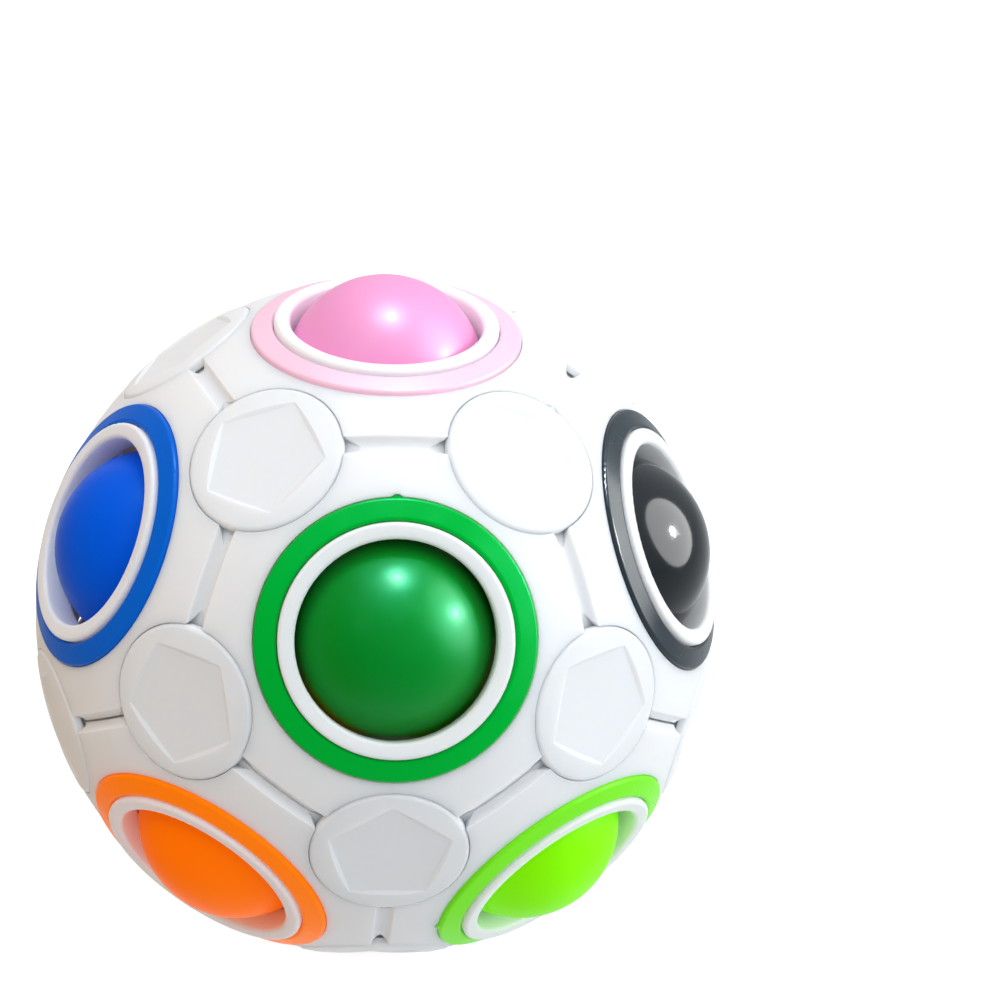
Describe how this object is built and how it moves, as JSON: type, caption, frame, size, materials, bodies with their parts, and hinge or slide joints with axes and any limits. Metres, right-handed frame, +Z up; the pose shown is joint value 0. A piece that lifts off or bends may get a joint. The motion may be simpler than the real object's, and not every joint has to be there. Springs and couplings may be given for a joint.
{
  "type": "rainbow puzzle ball",
  "caption": "Hollow round puzzle ball: coloured balls trapped behind round holes are pushed in and rolled from hole to hole past one empty hole.",
  "frame": {"origin": "on the surface the ball stands on, under its centre: the middle of the lowest hole's flat collar", "axes": "+Z up through the pink ball's hole, -Y toward the front below the green ball's hole, +X toward the black ball's side"},
  "size_m": [0.07, 0.0704, 0.0718],
  "materials": {
    "shell_white": "moulded, satin gloss",
    "core_grey": "moulded, matte",
    "screw_steel": "zinc plated",
    "pink_ring": "moulded, gloss",
    "green_ring": "moulded, gloss",
    "black_ring": "moulded, gloss",
    "red_ring": "moulded, gloss",
    "white_ring": "moulded, gloss",
    "blue_ring": "moulded, gloss",
    "lime_ring": "moulded, gloss",
    "yellow_ring": "moulded, gloss",
    "sky_ring": "moulded, gloss",
    "purple_ring": "moulded, gloss",
    "orange_ring": "moulded, gloss",
    "brown_ring": "moulded, gloss",
    "pink_ball": "moulded, high gloss",
    "green_ball": "moulded, high gloss",
    "black_ball": "moulded, high gloss",
    "red_ball": "moulded, high gloss",
    "blue_ball": "moulded, high gloss",
    "lime_ball": "moulded, high gloss",
    "yellow_ball": "moulded, high gloss",
    "sky_ball": "moulded, high gloss",
    "purple_ball": "moulded, high gloss",
    "orange_ball": "moulded, high gloss",
    "brown_ball": "moulded, high gloss"
  },
  "bodies": {
    "casing": {"upper_shell": "shell_white", "lower_shell": "shell_white", "pink_ring": "pink_ring", "green_ring": "green_ring", "black_ring": "black_ring", "red_ring": "red_ring", "white_ring": "white_ring", "blue_ring": "blue_ring", "lime_ring": "lime_ring", "yellow_ring": "yellow_ring", "sky_ring": "sky_ring", "purple_ring": "purple_ring", "orange_ring": "orange_ring", "brown_ring": "brown_ring", "cap_pink_green_black": "shell_white", "cap_pink_green_blue": "shell_white", "cap_pink_black_red": "shell_white", "cap_pink_red_white": "shell_white", "cap_pink_white_blue": "shell_white", "cap_green_black_lime": "shell_white", "cap_green_blue_orange": "shell_white", "cap_green_lime_orange": "shell_white", "cap_black_red_yellow": "shell_white", "cap_black_lime_yellow": "shell_white", "cap_red_white_sky": "shell_white", "cap_red_yellow_sky": "shell_white", "cap_white_blue_purple": "shell_white", "cap_white_sky_purple": "shell_white", "cap_blue_purple_orange": "shell_white", "cap_lime_yellow_brown": "shell_white", "cap_lime_orange_brown": "shell_white", "cap_yellow_sky_brown": "shell_white", "cap_sky_purple_brown": "shell_white", "cap_purple_orange_brown": "shell_white", "assembly_screws": "screw_steel"},
    "pink_ball": {"pink_ball": "pink_ball"},
    "green_ball": {"green_ball": "green_ball"},
    "black_ball": {"black_ball": "black_ball"},
    "red_ball": {"red_ball": "red_ball"},
    "blue_ball": {"blue_ball": "blue_ball"},
    "lime_ball": {"lime_ball": "lime_ball"},
    "yellow_ball": {"yellow_ball": "yellow_ball"},
    "sky_ball": {"sky_ball": "sky_ball"},
    "purple_ball": {"purple_ball": "purple_ball"},
    "orange_ball": {"orange_ball": "orange_ball"},
    "brown_ball": {"brown_ball": "brown_ball"},
    "core": {"core_upper_half": "core_grey", "core_lower_half": "core_grey"}
  },
  "joints": [
    {"name": "pink_press", "type": "slide", "parent": "casing", "child": "pink_ball", "axis": [0, 0, 1], "range_m": [-0.00575, 0]},
    {"name": "green_press", "type": "slide", "parent": "casing", "child": "green_ball", "axis": [0, -0.8944, 0.4472], "range_m": [-0.0048, 0.00095]},
    {"name": "black_press", "type": "slide", "parent": "casing", "child": "black_ball", "axis": [0.8507, -0.2764, 0.4472], "range_m": [-0.0048, 0.00095]},
    {"name": "red_roll_across", "type": "hinge", "parent": "casing", "child": "red_ball", "pos_m": [0, 0, 0.03385], "axis": [0, -0.5257, 0.8507], "range_deg": [0, 63.43]},
    {"name": "blue_press", "type": "slide", "parent": "casing", "child": "blue_ball", "axis": [-0.8507, -0.2764, 0.4472], "range_m": [-0.0044, 0.00135]},
    {"name": "lime_press", "type": "slide", "parent": "casing", "child": "lime_ball", "axis": [0.5257, -0.7236, -0.4472], "range_m": [-0.00475, 0.001]},
    {"name": "yellow_press", "type": "slide", "parent": "casing", "child": "yellow_ball", "axis": [0.8507, 0.2764, -0.4472], "range_m": [-0.0049, 0.00085]},
    {"name": "sky_press", "type": "slide", "parent": "casing", "child": "sky_ball", "axis": [0, 0.8944, -0.4472], "range_m": [-0.0051, 0.00065]},
    {"name": "purple_press", "type": "slide", "parent": "casing", "child": "purple_ball", "axis": [-0.8507, 0.2764, -0.4472], "range_m": [-0.0048, 0.00095]},
    {"name": "orange_press", "type": "slide", "parent": "casing", "child": "orange_ball", "axis": [-0.5257, -0.7236, -0.4472], "range_m": [-0.00475, 0.001]},
    {"name": "brown_press", "type": "slide", "parent": "casing", "child": "brown_ball", "axis": [0, 0, -1], "range_m": [-0.0016, 0.00415]},
    {"name": "core_spin", "type": "hinge", "parent": "casing", "child": "core", "pos_m": [0, 0, 0.03385], "axis": [0, 0, 1], "continuous": true}
  ]
}
